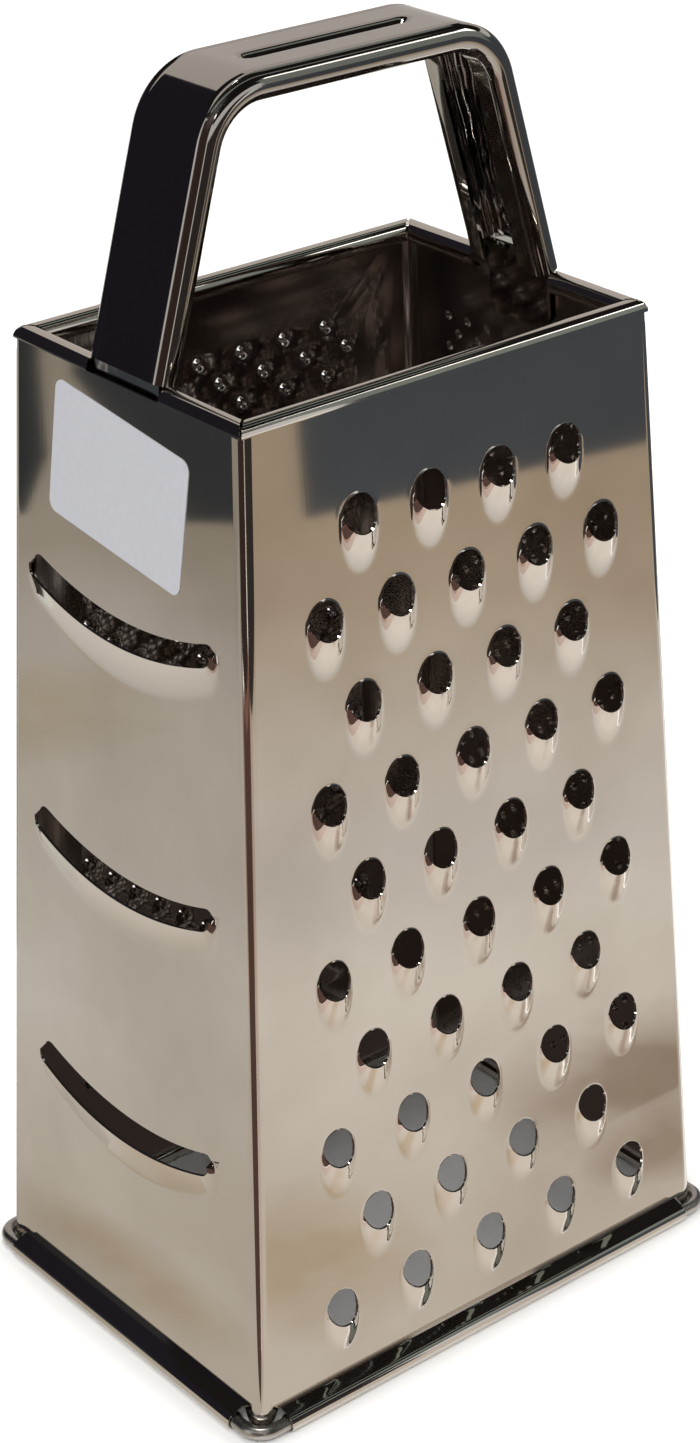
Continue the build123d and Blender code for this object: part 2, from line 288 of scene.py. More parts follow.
# the flange that locks a seamed corner, inside the neighbour wall
def makeFlange(wall, side):
    low, high = creaseHeight + body["hemRise"], curlStart - body["curlRadius"]
    near, far = body["flangeOverlap"], body["bendRadius"] + body["flangeWidth"]
    corners = []
    for z, inset in ((low, near), (low, far), (high, far), (high, near)):
        x = side * (spanAt(wall, z) / 2 - inset)
        corners.append(Vector((x, z * slopeOf(wall), -body["sheet"])))
    flange = draw("flange", corners, closed=True)
    fillIn(flange)
    flange.data.transform(faceMatrix(wall))
    out = directions(wall)[0]
    faceOutward(flange, lambda face: face.normal.dot(out) > 0)
    return flange


def staggered(wall, pattern):
    # long and short rows take turns, and the taper spreads them
    places = []
    for row in range(pattern["rows"]):
        z = pattern["firstHeight"] + row * pattern["rowPitch"]
        count = pattern["longRow"] - row % 2
        pitch = pattern["pitchShare"] * spanAt(wall, z)
        first = -(count - 1) / 2
        places += [((column + first) * pitch, z * slopeOf(wall)) for column in range(count)]
    return places


def markRim(patch, count):
    # the outer loop of a patch, which the flat sheet is filled up to
    total = len(patch.data.vertices)
    patch.vertex_groups.new(name="rim").add(list(range(total - count, total)), 1, "REPLACE")


def markPaintedHighlight(patch, top, gain=2.5):
    # how far each point is drawn out of the sheet, which sets how much painted highlight the steel
    # gets there
    drawn = patch.data.attributes.new("drawn", "FLOAT", "POINT")
    for vertex in patch.data.vertices:
        drawn.data[vertex.index].value = min(vertex.co.z / mm / top * gain, 1)


def copies(patch, places):
    made = []
    for x, y in places:
        one = patch.copy()
        one.data = patch.data.copy()
        one.data.transform(Matrix.Translation((x * mm, y * mm, 0)))
        scene.collection.objects.link(one)
        made.append(one)
    bpy.data.objects.remove(patch)
    return made


# the flat of a wall between its bends, with its punched patches let in
def makePanel(wall, patches):
    slope = slopeOf(wall)
    edge = body["bendRadius"] + body["bendMargin"]
    tip, crease = body["tipRise"], creaseHeight
    # notched beside each corner's tip, where the hem ends
    shoulder = spanAt(wall, crease) / 2 - body["hemGap"] + body["notchRelief"]
    right = [
        (shoulder, crease * slope), (spanAt(wall, tip) / 2 - edge, tip * slope),
        (spanAt(wall, crease) / 2 - edge, crease * slope),
        (spanAt(wall, curlStart) / 2 - edge, curlStart * slope),
    ]
    left = [(-x, y) for x, y in reversed(right)]
    outline = draw("outline", [(x, y, 0) for x, y in right + left], closed=True)
    markRim(outline, len(outline.data.vertices))
    panel = joined("panel", [outline] + patches)
    edit(panel)
    bpy.ops.mesh.select_all(action="DESELECT")
    panel.vertex_groups.active_index = 0
    bpy.ops.object.vertex_group_select()
    bpy.ops.mesh.fill(use_beauty=True)
    leave()
    for face in panel.data.polygons:
        if face.normal.z < 0:
            face.flip()
    panel.data.update()
    panel.vertex_groups.clear()
    panel.data.transform(faceMatrix(wall))
    return panel


# coarse tooth: a round hole whose lower part is drawn out into a lip that faces up
tooth = {
    "rows": 10, "longRow": 5, "firstHeight": 17.2, "rowPitch": 16.1, "pitchShare": 0.1665,
    "shift": 1.2, "radius": 3.3, "rise": 1.3, "points": 40, "rings": 11, "ringSpacing": 0.9,
    "lipLength": 8.8, "lipHeight": 2.1, "lipHalfWidth": 3.9, "ear": 2.4,
    "lipRound": 2.3, "lipSlope": 1.2, "lipBelly": 0.6, "lipFlank": 1.3,
    "collar": 0.08,  # the burr round the hole
    "bulge": 0.02, "bulgeReach": 1.6,  # the pull of the punch
    "patchFoot": -10.2, "patchTop": 6.6, "patchHalfWidth": 5.8,  # an oval round the whole lip
}


def toothHeight(x, y):
    # the lip is a scoop that rises from a soft toe and is let down round the hole's sides
    half = tooth["lipHalfWidth"]
    if y <= 0:
        share = -y / tooth["lipLength"]
        if share >= 1:
            return 0
        half *= math.sqrt(1 - share ** tooth["lipRound"])
        belly = 1 + tooth["lipBelly"] * share * (1 - share)
        height = tooth["lipHeight"] * (1 - share) ** tooth["lipSlope"] * belly
    else:
        share = y / tooth["ear"]
        if share >= 1:
            return 0
        height = tooth["lipHeight"] * (1 - share ** 2) ** 2
    across = abs(x) / half
    if across >= 1:
        return 0
    return height * (1 - across ** tooth["lipRound"]) ** tooth["lipFlank"]


def pullHeight(x, y):
    # the sheet round the hole is drawn out by a hair
    away = max(math.hypot(x, y - tooth["rise"]) - tooth["radius"], 0) / tooth["bulgeReach"]
    return tooth["bulge"] * (1 - away) ** 2 if away < 1 else 0


def makeTeeth():
    radius, rise = tooth["radius"], tooth["rise"]
    deselectAll()
    bpy.ops.mesh.primitive_circle_add(
        vertices=tooth["points"], radius=radius * mm, fill_type="NOTHING",
        location=(0, rise * mm, 0),
    )
    patch = bpy.context.object
    bpy.ops.object.transform_apply(location=True)
    edit(patch)
    # each loop lies between the hole's edge and the patch's oval: half width, half height, middle
    low, high, wide = tooth["patchFoot"], tooth["patchTop"], tooth["patchHalfWidth"]
    loops = []
    for ring in range(tooth["rings"] + 1):
        t = (ring / tooth["rings"]) ** tooth["ringSpacing"]
        loops.append((
            radius + (wide - radius) * t, radius + ((high - low) / 2 - radius) * t,
            rise + ((high + low) / 2 - rise) * t,
        ))
    for last, now in zip(loops, loops[1:]):
        bpy.ops.mesh.extrude_edges_move()
        bpy.ops.transform.resize(
            value=(now[0] / last[0], now[1] / last[1], 1), center_override=(0, last[2] * mm, 0)
        )
        bpy.ops.transform.translate(value=(0, (now[2] - last[2]) * mm, 0))
    leave()
    for vertex in patch.data.vertices:
        x, y = vertex.co.x / mm, vertex.co.y / mm
        collar = tooth["collar"] if vertex.index < tooth["points"] else 0
        vertex.co.z = (toothHeight(x, y) + pullHeight(x, y) + collar) * mm
    for vertex in patch.data.vertices[-tooth["points"]:]:
        vertex.co.z = 0
    markPaintedHighlight(patch, tooth["lipHeight"])
    markRim(patch, tooth["points"])
    return copies(patch, [(x + tooth["shift"], y) for x, y in staggered("coarse", tooth)])


# slicing slot: a smile-shaped opening over a blade that leans out of the wall
slot = {
    "count": 3, "firstHeight": 48.3, "pitch": 47.35, "shift": -0.5,
    "width": 50.5, "opening": 3.6, "sag": 3.9, "sideSteps": 60, "endSteps": 8, "rings": 14,
    "bladeHeight": 2.2, "bladeDrop": 7.4, "endDrop": 6.8, "overhang": 1.4, "flank": 2.4,
    "creaseReach": 1.1, "softness": 0.1, "drawnShare": 2,
    # the patch round it: above the opening, below the blade, and how much wider it is
    "border": 2.6, "below": 1.6, "wider": 1.07, "footSag": 0.9, "endBulge": 1.6, "endFoot": 0.2,
    "endTop": 4.4,
}


def bladeHeight(x, y, below):
    # a straight slope from a soft crease to the cutting edge
    reach = slot["width"] / 2 + slot["overhang"]
    if not below or abs(x) >= reach:
        return 0
    shoulder = reach - slot["flank"]
    drop = slot["bladeDrop"] + slot["sag"] + slot["opening"] / 2
    crease = -(drop - (drop - slot["endDrop"]) * min(abs(x) / shoulder, slot["creaseReach"]) ** 2)
    over = (y - crease) / slot["bladeDrop"]
    if over <= 0:
        return 0
    over = min(over, 1)
    soft = slot["softness"]
    height = slot["bladeHeight"] * (1 + soft) * over ** 2 / (over + soft)
    if abs(x) > shoulder:
        t = (abs(x) - shoulder) / slot["flank"]
        height *= 1 - t * t * (3 - 2 * t)
    return height


def makeSlots():
    half = (slot["width"] - slot["opening"]) / 2
    sag, opening = slot["sag"], slot["opening"] / 2
    bow = (half ** 2 + sag ** 2) / (2 * sag)
    spread = math.degrees(math.asin(half / bow))
    centre = (0, bow - sag)
    steps, ends = slot["sideSteps"], slot["endSteps"]
    # round the opening: its lower edge, right end, upper edge and left end
    sweep = [2 * spread * i / steps for i in range(steps + 1)]
    turn = [180 * i / ends for i in range(1, ends)]
    lower = arc(centre, bow + opening, [-90 - spread + a for a in sweep])
    rightEnd = arc((half, 0), opening, [-90 + spread + a for a in turn])
    upper = arc(centre, bow - opening, [-90 + spread - a for a in sweep])
    leftEnd = arc((-half, 0), opening, [90 - spread + a for a in turn])
    inner = lower + rightEnd + upper + leftEnd
    drop = slot["bladeDrop"] + slot["below"]
    endRise = drop + slot["endFoot"] + slot["endTop"]
    outer = []
    for i, (x, y) in enumerate(inner):
        if i <= steps:
            outer.append((x * slot["wider"], y - drop + slot["footSag"] * (x / half) ** 2))
        elif steps + ends <= i <= 2 * steps + ends:
            outer.append((x * slot["wider"], y + slot["border"]))
        else:
            isRight = i < steps + ends
            t = (i - steps if isRight else i - 2 * steps - ends) / ends
            bulge = slot["border"] * math.sin(math.pi * t) * slot["endBulge"]
            side, down = (1, 1 - t) if isRight else (-1, t)
            outer.append((side * (half * slot["wider"] + bulge), slot["endTop"] - endRise * down))
    patch = draw("slot", [(x, y, 0) for x, y in inner], closed=True)
    edit(patch)
    for ring in range(slot["rings"]):
        bpy.ops.mesh.extrude_edges_move()
    leave()
    count = len(inner)
    for vertex in patch.data.vertices:
        ring, i = divmod(vertex.index, count)
        t = ring / slot["rings"]
        x = inner[i][0] + (outer[i][0] - inner[i][0]) * t
        y = inner[i][1] + (outer[i][1] - inner[i][1]) * t
        below = i <= steps + ends // 2 or i > 2 * steps + ends + ends // 2
        vertex.co = (x * mm, y * mm, bladeHeight(x, y, below) * mm)
    markPaintedHighlight(patch, slot["bladeHeight"] * slot["drawnShare"])
    markRim(patch, count)
    rows = [slot["firstHeight"] + row * slot["pitch"] for row in range(slot["count"])]
    return copies(patch, [(slot["shift"], z * slopeOf("slicer")) for z in rows])


# medium and fine gratings: small holes burst outward, each with a crown of four points. A loop is
# its radius and its height
crowns = {
    "medium": {
        "rows": 30, "longRow": 7, "firstHeight": 27.6, "rowPitch": 4.79, "pitchShare": 0.108,
        "points": 16, "peak": 0.45,
        "loops": ((0.55, 1.15), (0.85, 0.95), (1.25, 0.5), (1.65, 0.16), (2.05, 0)),
    },
    "fine": {
        "rows": 51, "longRow": 9, "firstHeight": 18.68, "rowPitch": 2.96, "pitchShare": 0.0822,
        "points": 8, "peak": 0.35,
        "loops": ((0.32, 0.7), (0.62, 0.42), (1.1, 0)),
    },
}
burst = {"spread": 1.35, "pinch": 0.5}  # how the hole's corners open and the points lean in


def makeCrowns(wall):
    crown = crowns[wall]
    count = crown["points"]
    deselectAll()
    bpy.ops.mesh.primitive_circle_add(
        vertices=count, radius=crown["loops"][0][0] * mm, fill_type="NOTHING",
    )
    patch = bpy.context.object
    edit(patch)
    for last, now in zip(crown["loops"], crown["loops"][1:]):
        bpy.ops.mesh.extrude_edges_move()
        grown = now[0] / last[0]
        bpy.ops.transform.resize(value=(grown, grown, 1), center_override=(0, 0, 0))
    leave()
    for vertex in patch.data.vertices:
        ring, i = divmod(vertex.index, count)
        height = crown["loops"][ring][1]
        if ring == 0:
            # four points stand up round the hole, which is open to its corners
            lift = abs(math.cos(2 * math.pi * i / count * 2))
            height += crown["peak"] * lift
            vertex.co.xy *= burst["spread"] - burst["pinch"] * lift
        vertex.co.z = height * mm
    markRim(patch, count)
    return copies(patch, staggered(wall, crown))


def finishWall(name, pieces, node):
    wall = joined(name, pieces)
    thicken(wall, body["sheet"])
    smooth(wall)
    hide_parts(node)
    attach(wall, "root")
    print(name, len(wall.data.polygons), "faces")
    return wall


# the wire ring: straight runs, turned round each corner
wire = {"sides": 20, "turnSteps": 10, "smoothAngle": 60}


def makeWire():
    length = body["baseLength"] / 2 - body["bendRadius"]
    width = body["baseWidth"] / 2 - body["bendRadius"]
    turn = body["bendRadius"] + ringOffset
    deselectAll()
    bpy.ops.mesh.primitive_circle_add(
        vertices=wire["sides"], radius=body["wireRadius"] * mm, fill_type="NOTHING",
        location=((length + turn) * mm, 0, wireHeight * mm), rotation=(math.pi / 2, 0, 0),
    )
    ring = bpy.context.object
    ring.name = "baseWire"
    ring.data.name = "baseWire"
    bpy.ops.object.transform_apply(location=True, rotation=True)
    edit(ring)
    runs = [(0, width), (-2 * length, 0), (0, -2 * width), (2 * length, 0)]
    corners = [(length, width), (-length, width), (-length, -width), (length, -width)]
    for run, (x, y) in zip(runs, corners):
        pull((*run, 0))
        bpy.ops.mesh.spin(
            steps=wire["turnSteps"], angle=-math.pi / 2, axis=(0, 0, 1),
            center=(x * mm, y * mm, wireHeight * mm),
        )
    pull((0, width, 0))
    bpy.ops.mesh.select_all(action="SELECT")
    bpy.ops.mesh.remove_doubles(threshold=0.01 * mm)
    bpy.ops.mesh.normals_make_consistent(inside=False)
    leave()
    smooth(ring, wire["smoothAngle"])
    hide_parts("base_wire")
    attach(ring, "root")
    print("wire made", len(ring.data.polygons), "faces")
    return ring


# handle: one strap with rolled-under edges, drawn up, spun round its bends and dented by the groove
handle = {
    "height": 229.0, "width": 19.0, "depth": 4.2, "lip": 5.0, "thickness": 0.7,
    "bendRadius": 13.0, "topSpan": 58.6, "footRise": 0.5, "notchGap": 0.25,
    "rollSteps": 12, "webSteps": 40, "bendSteps": 18, "topSteps": 60, "legSteps": 6,
    "grooveLength": 35.5, "grooveWidth": 4.2, "grooveDepth": 1.2, "grooveEase": 0.15,
    # its flat ends, the tongues
    "tongue": 12.0, "tongueStep": 0.65, "tongueHead": 1.5, "tongueRound": 2.0,
    "shoulderDrop": 3.2, "shoulderShare": 0.6, "shoulderEase": 0.6,
}


def makeTongue(turn, footHeight, lean, edge, roll):
    # steps back at the foot and runs down inside a narrow wall
    def inside(z):
        return lengthAt(z) / 2 - body["sheet"] * slopeOf("fine") - handle["tongueStep"]

    low = footHeight - handle["tongue"]
    shoulder = footHeight - handle["shoulderDrop"]
    wide = edge + roll * handle["shoulderShare"]
    rounded = handle["tongueRound"]
    headReach = inside(footHeight) - handle["tongueHead"] / math.tan(lean)
    half = [
        (headReach, edge, footHeight + handle["tongueHead"]),
        (inside(footHeight), wide, footHeight), (inside(shoulder), wide, shoulder),
        (inside(shoulder), edge, shoulder - handle["shoulderEase"]),
        (inside(low), edge, low + rounded), (inside(low), edge - rounded, low),
    ]
    outline = half + [(x, -y, z) for x, y, z in reversed(half)]
    tongue = draw("tongue", [(turn * x, y, z) for x, y, z in outline], closed=True)
    fillIn(tongue)
    faceOutward(tongue, lambda face: face.normal.x * turn > 0)
    return tongue


def pressGroove(strap):
    half = handle["grooveWidth"] / 2
    for vertex in strap.data.vertices:
        x, y, z = vertex.co / mm
        if z > handle["height"] - 0.1:
            beyond = max(abs(x) - (handle["grooveLength"] - handle["grooveWidth"]) / 2, 0)
            t = min(math.hypot(beyond, y) / (half + handle["grooveEase"]), 1)
            vertex.co.z -= handle["grooveDepth"] * (0.5 + 0.5 * math.cos(math.pi * t)) * mm


def makeHandle():
    roll = handle["depth"] / 2
    edge = handle["width"] / 2 - roll
    lipEnd = handle["width"] / 2 - handle["lip"]
    side = [(lipEnd, handle["depth"])]
    side += arc((edge, roll), roll, arcAngles(90, -90, handle["rollSteps"]))
    web = [(edge - 2 * edge * i / handle["webSteps"], 0) for i in range(1, handle["webSteps"])]
    section = side + web + [(-x, y) for x, y in reversed(side)]
    footHeight = body["rimHeight"] + handle["footRise"]
    footReach = lengthAt(footHeight) / 2 - body["sheet"] * slopeOf("fine")
    corner = handle["topSpan"] / 2
    lean = math.atan2(handle["height"] - footHeight, footReach - corner)
    upward = Vector((math.cos(lean), 0, math.sin(lean)))
    downward = Vector((upward.x, 0, -upward.z))
    inward = Vector((math.sin(lean), 0, -math.cos(lean)))
    foot = Vector((-footReach, 0, footHeight))
    strap = draw("handleStrap", [foot + Vector((0, x, 0)) + inward * y for x, y in section])
    tangent = handle["bendRadius"] * math.tan(lean / 2)
    leg = (Vector((-corner, 0, handle["height"])) - foot).length - tangent
    top = 2 * (corner - tangent)
    bend = {"steps": handle["bendSteps"], "angle": -lean, "axis": (0, 1, 0)}
    middle = Vector((-corner + tangent, 0, handle["height"] - handle["bendRadius"]))
    edit(strap)
    for step in range(handle["legSteps"]):
        pull(upward * leg / handle["legSteps"])
    bpy.ops.mesh.spin(center=middle * mm, **bend)
    for step in range(handle["topSteps"]):
        pull((top / handle["topSteps"], 0, 0))
    middle.x = -middle.x
    bpy.ops.mesh.spin(center=middle * mm, **bend)
    for step in range(handle["legSteps"]):
        pull(downward * leg / handle["legSteps"])
    bpy.ops.mesh.select_all(action="SELECT")
    bpy.ops.mesh.remove_doubles(threshold=0.002 * mm)
    leave()
    pressGroove(strap)
    underArch = Vector((0, 0, 205)) * mm
    faceOutward(strap, lambda face: face.normal.dot(face.center - underArch) > 0)
    tongues = [makeTongue(turn, footHeight, lean, edge, roll) for turn in (-1, 1)]
    strap = joined("handleStrap", [strap] + tongues)
    thicken(strap, handle["thickness"])
    smooth(strap)
    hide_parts("handle")
    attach(strap, "root")
    print("handle made", len(strap.data.polygons), "faces")
    return strap


# the pieces: the wide walls carry the folded corners, the narrow ones are notched for the handle
footNotch = handle["width"] / 2 + handle["notchGap"]
coarseWall = finishWall("coarseWall", [
    makePanel("coarse", makeTeeth()), makeHem("coarse"),
    *makeCurl("coarse", body["bendGap"], body["seamGap"]),
    makeBend(-1, -1), makeBend(1, -1), makeFlange("fine", -1),
], "coarse_wall")
mediumWall = finishWall("mediumWall", [
    makePanel("medium", makeCrowns("medium")), makeHem("medium"),
    *makeCurl("medium", body["bendGap"], body["seamGap"]),
    makeBend(1, 1), makeBend(-1, 1), makeFlange("slicer", -1),
], "medium_wall")
slicerWall = finishWall("slicerWall", [
    makePanel("slicer", makeSlots()), makeHem("slicer"),
    *makeCurl("slicer", body["seamGap"], body["bendGap"], footNotch),
], "slicer_wall")
fineWall = finishWall("fineWall", [
    makePanel("fine", makeCrowns("fine")), makeHem("fine"),
    *makeCurl("fine", body["seamGap"], body["bendGap"], footNotch),
], "fine_wall")
print("walls made")
baseWire = makeWire()
handleStrap = makeHandle()


# materials. The label's own CAD shape is right, so it only gets its paper
def colour(code):
    # sRGB hex to linear
    values = [int(code[i:i + 2], 16) / 255 for i in (1, 3, 5)]
    return [v / 12.92 if v <= 0.04045 else ((v + 0.055) / 1.055) ** 2.4 for v in values] + [1]


def add(tree, kind, settings=None):
    # one node. A setting is a property, a socket's value, or another node's socket that feeds it
    node = tree.nodes.new("ShaderNode" + kind)
    for key, value in (settings or {}).items():
        if isinstance(value, bpy.types.NodeSocket):
            tree.links.new(value, node.inputs[key])
        elif isinstance(key, str) and key in node.bl_rna.properties:
            setattr(node, key, value)
        else:
            node.inputs[key].default_value = value
    return node


mixFirst, mixSecond, mixResult = 6, 7, 2  # a Mix node's sockets for colours


def newMaterial(name):
    material = bpy.data.materials.new(name)
    material.use_nodes = True
    tree = material.node_tree
    tree.nodes.clear()
    return material, tree


def cover(piece, outer, inner=None):
    if inner:
        piece.data.materials[0], piece.data.materials[1] = outer, inner
    else:
        piece.data.materials.clear()
        piece.data.materials.append(outer)


# cold-rolled stainless sheet: a warm mirror with faint rolling lines up the wall, duller inside,
# where its darker tone is painted shade for the inside of the box.
# Lengths are in millimetres
steel = {
    "outer": {
        # the lighter last tone is a painted highlight on lips and blades
        "pale": "#DBD5CD", "dark": "#C8C0B6", "drawn": "#E9E1D9",
        "roughness": 0.042, "lineDepth": 0.004,
    },
    "inner": {
        "pale": "#C8C0BA", "dark": "#B4ACA6", "drawn": "#C8C0BA",
        "roughness": 0.14, "lineDepth": 0.12,
    },
    "strapInside": {
        "pale": "#BDB7B0", "dark": "#B0AAA3", "drawn": "#BDB7B0",
        "roughness": 0.07, "lineDepth": 0,
    },
    "haze": 55, "hazeFrom": 0.35, "hazeTo": 0.68, "smoother": 0.012, "rougher": 0.02,
    "lines": 0.35, "lineStretch": 0.03, "lineRise": 0.1,
}


def rolledSteel(name, side):
    material, tree = newMaterial(name)
    place = add(tree, "TexCoord").outputs["Object"]
    cloud = add(tree, "TexNoise", {
        "Vector": place, "Scale": 1000 / steel["haze"], "Detail": 4, "Roughness": 0.55,
    }).outputs["Fac"]
    stretched = add(tree, "Mapping", {"Vector": place, "Scale": (1, 1, steel["lineStretch"])})
    lines = add(tree, "TexNoise", {
        "Vector": stretched.outputs[0], "Scale": 1000 / steel["lines"] / 2, "Detail": 2,
    })
    tone = add(tree, "MapRange", {
        "Value": cloud, "From Min": steel["hazeFrom"], "From Max": steel["hazeTo"],
    })
    tint = add(tree, "Mix", {
        "data_type": "RGBA", "Factor": tone.outputs[0],
        mixFirst: colour(side["pale"]), mixSecond: colour(side["dark"]),
    })
    # painted highlight: a lighter tone where the sheet is drawn out into lips and blades, for the
    # bright floor that these mirror
    drawn = add(tree, "Attribute", {"attribute_name": "drawn"})
    bright = add(tree, "Mix", {
        "data_type": "RGBA", "Factor": drawn.outputs["Fac"],
        mixFirst: tint.outputs[mixResult], mixSecond: colour(side["drawn"]),
    })
    rough = add(tree, "MapRange", {
        "Value": cloud, "To Min": side["roughness"] - steel["smoother"],
        "To Max": side["roughness"] + steel["rougher"],
    })
    bump = add(tree, "Bump", {
        "Height": lines.outputs["Fac"], "Strength": side["lineDepth"],
        "Distance": steel["lineRise"] * mm,
    })
    shader = add(tree, "BsdfPrincipled", {
        "Metallic": 1, "Base Color": bright.outputs[mixResult],
        "Roughness": rough.outputs[0], "Normal": bump.outputs[0],
    })
    add(tree, "OutputMaterial", {"Surface": shader.outputs[0]})
    return material


# polished stainless strap: nearly a mirror, faintly wavy where it was drawn round its bends.
# The waves are in millimetres
strapSteel = {
    "tone": "#DAD7D5", "roughness": 0.07, "smoother": 0.03, "rougher": 0.04, "markScale": 90,
    "waves": 9, "waveDepth": 0.35,
}


def polishedSteel():
    material, tree = newMaterial("polishedStainlessStrap")
    place = add(tree, "TexCoord").outputs["Object"]
    marks = add(tree, "TexNoise", {
        "Vector": place, "Scale": strapSteel["markScale"], "Detail": 5,
    })
    rough = add(tree, "MapRange", {
        "Value": marks.outputs["Fac"], "To Min": strapSteel["roughness"] - strapSteel["smoother"],
        "To Max": strapSteel["roughness"] + strapSteel["rougher"],
    })
    waves = add(tree, "TexNoise", {
        "Vector": place, "Scale": 1000 / strapSteel["waves"], "Detail": 1.5,
    })
    bump = add(tree, "Bump", {
        "Height": waves.outputs["Fac"], "Strength": 1, "Distance": strapSteel["waveDepth"] * mm,
    })
    shader = add(tree, "BsdfPrincipled", {
        "Metallic": 1, "Base Color": colour(strapSteel["tone"]),
        "Roughness": rough.outputs[0], "Normal": bump.outputs[0],
    })
    add(tree, "OutputMaterial", {"Surface": shader.outputs[0]})
    return material


# drawn steel wire: a greyer metal with a satin shine
wireSteel = {"tone": "#B4AFA9", "smooth": 0.2, "rough": 0.34, "markScale": 400}


def drawnWire():
    material, tree = newMaterial("drawnSteelWire")
    place = add(tree, "TexCoord").outputs["Object"]
    marks = add(tree, "TexNoise", {
        "Vector": place, "Scale": wireSteel["markScale"], "Detail": 3,
    })
    rough = add(tree, "MapRange", {
        "Value": marks.outputs["Fac"], "To Min": wireSteel["smooth"], "To Max": wireSteel["rough"],
    })
    shader = add(tree, "BsdfPrincipled", {
        "Metallic": 1, "Base Color": colour(wireSteel["tone"]), "Roughness": rough.outputs[0],
    })
    add(tree, "OutputMaterial", {"Surface": shader.outputs[0]})
    return material


# coated label paper with hardly any gloss: a cool white painted down to a grey, as painted shade
# for its dimly lit wall
paper = {
    "pale": "#BFC0C6", "dark": "#B4B5BC", "roughness": 0.45,
    "fibreScale": 900, "fibreRise": 0.02, "fibreDepth": 0.1,
}


def labelPaper():
    material, tree = newMaterial("coatedLabelPaper")
    place = add(tree, "TexCoord").outputs["Object"]
    fibre = add(tree, "TexNoise", {
        "Vector": place, "Scale": paper["fibreScale"], "Detail": 4,
    }).outputs["Fac"]
    tint = add(tree, "Mix", {
        "data_type": "RGBA", "Factor": fibre,
        mixFirst: colour(paper["pale"]), mixSecond: colour(paper["dark"]),
    })
    bump = add(tree, "Bump", {
        "Height": fibre, "Strength": paper["fibreDepth"], "Distance": paper["fibreRise"] * mm,
    })
    shader = add(tree, "BsdfPrincipled", {
        "Base Color": tint.outputs[mixResult], "Roughness": paper["roughness"],
        "Normal": bump.outputs[0],
    })
    add(tree, "OutputMaterial", {"Surface": shader.outputs[0]})
    return material


outerSteel = rolledSteel("coldRolledStainlessPolished", steel["outer"])
# the inside: a rougher mill finish, with a darker tone that is painted shade
shadedInnerSteel = rolledSteel("coldRolledStainlessMillFinishPaintedShade", steel["inner"])
for wall in (coarseWall, mediumWall, slicerWall, fineWall):
    cover(wall, outerSteel, shadedInnerSteel)
cover(
    handleStrap, polishedSteel(),
    rolledSteel("coldRolledStainlessStrapInside", steel["strapInside"]),
)
cover(baseWire, drawnWire())
cover(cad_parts["label"], labelPaper())
print("materials made")

# camera at the photograph's angle
view = {
    "azimuth": -38.62, "elevation": 27.0, "roll": -1.31,
    "distance": 564.6, "target": (1.86, 0, 106.65), "lens": 79.9,
}


def makeCamera():
    azimuth, elevation, roll = (math.radians(view[key]) for key in ("azimuth", "elevation", "roll"))
    back = Vector((
        math.sin(azimuth) * math.cos(elevation), -math.cos(azimuth) * math.cos(elevation),
        math.sin(elevation),
    ))
    right = (-back).cross(Vector((0, 0, 1))).normalized()
    upward = right.cross(-back)
    turnedRight = right * math.cos(roll) + upward * math.sin(roll)
    turnedUp = upward * math.cos(roll) - right * math.sin(roll)
    facing = Matrix((turnedRight, turnedUp, back)).transposed().to_4x4()
    lens = bpy.data.cameras.new("camera")
    lens.lens = view["lens"]
    lens.sensor_width = 36
    lens.clip_start = 0.05
    lens.clip_end = 20
    camera = bpy.data.objects.new("camera", lens)
    place = (Vector(view["target"]) + back * view["distance"]) * mm
    camera.matrix_world = Matrix.Translation(place) @ facing
    scene.collection.objects.link(camera)
    scene.camera = camera


makeCamera()

# floor, light, and the cards and mats that the steel mirrors, with patches of painted shade among
# them
studio = {
    "world": 0.75, "key": 14, "fill": 5, "glint": 3, "aim": (0, 0, 0.1),
    "floor": "#F4F3F1", "floorSize": 8, "lift": 0.26, "mirroredLift": 0.5,
    "shadeFrom": 1.08, "shadeTo": 1.2,  # in half widths of the base
    "blotchScale": 14, "unevenness": 0.12,
    # the patches of painted shade on the floor
    "shadePatchHeight": 1.4, "shadePatchScale": 45, "shadePatchFrom": 0.04, "shadePatchTo": 0.4,
}


def makeFloor():
    deselectAll()
    bpy.ops.mesh.primitive_plane_add(size=studio["floorSize"])
    floor = bpy.context.object
    floor.name = "floor"
    material, tree = newMaterial("paleFloor")
    # lifted to white for the camera, and half as much for the steel
    path = add(tree, "LightPath").outputs
    mirrored = add(tree, "Math", {
        "operation": "MULTIPLY", 0: path["Is Glossy Ray"], 1: studio["mirroredLift"],
    })
    seen = add(tree, "Math", {
        "operation": "MAXIMUM", 0: path["Is Camera Ray"], 1: mirrored.outputs[0],
    })
    # the ground inside the box stays in its shade
    place = add(tree, "TexCoord").outputs["Object"]
    plan = add(tree, "Mapping", {
        "Vector": place, "Scale": (2000 / body["baseLength"], 2000 / body["baseWidth"], 0),
    })
    folded = add(tree, "VectorMath", {"operation": "ABSOLUTE", 0: plan.outputs[0]})
    sides = add(tree, "SeparateXYZ", {"Vector": folded.outputs[0]}).outputs
    away = add(tree, "Math", {"operation": "MAXIMUM", 0: sides["X"], 1: sides["Y"]})
    clear = add(tree, "MapRange", {
        "Value": away.outputs[0], "From Min": studio["shadeFrom"], "From Max": studio["shadeTo"],
        "To Min": 0, "To Max": studio["lift"],
    })
    lift = add(tree, "Math", {
        "operation": "MULTIPLY", 0: seen.outputs[0], 1: clear.outputs[0],
    })
    shader = add(tree, "BsdfPrincipled", {
        "Base Color": colour(studio["floor"]), "Roughness": 0.9, "Specular IOR Level": 0,
        "Emission Color": colour("#FFFFFF"), "Emission Strength": lift.outputs[0],
    })
    add(tree, "OutputMaterial", {"Surface": shader.outputs[0]})
    floor.data.materials.append(material)


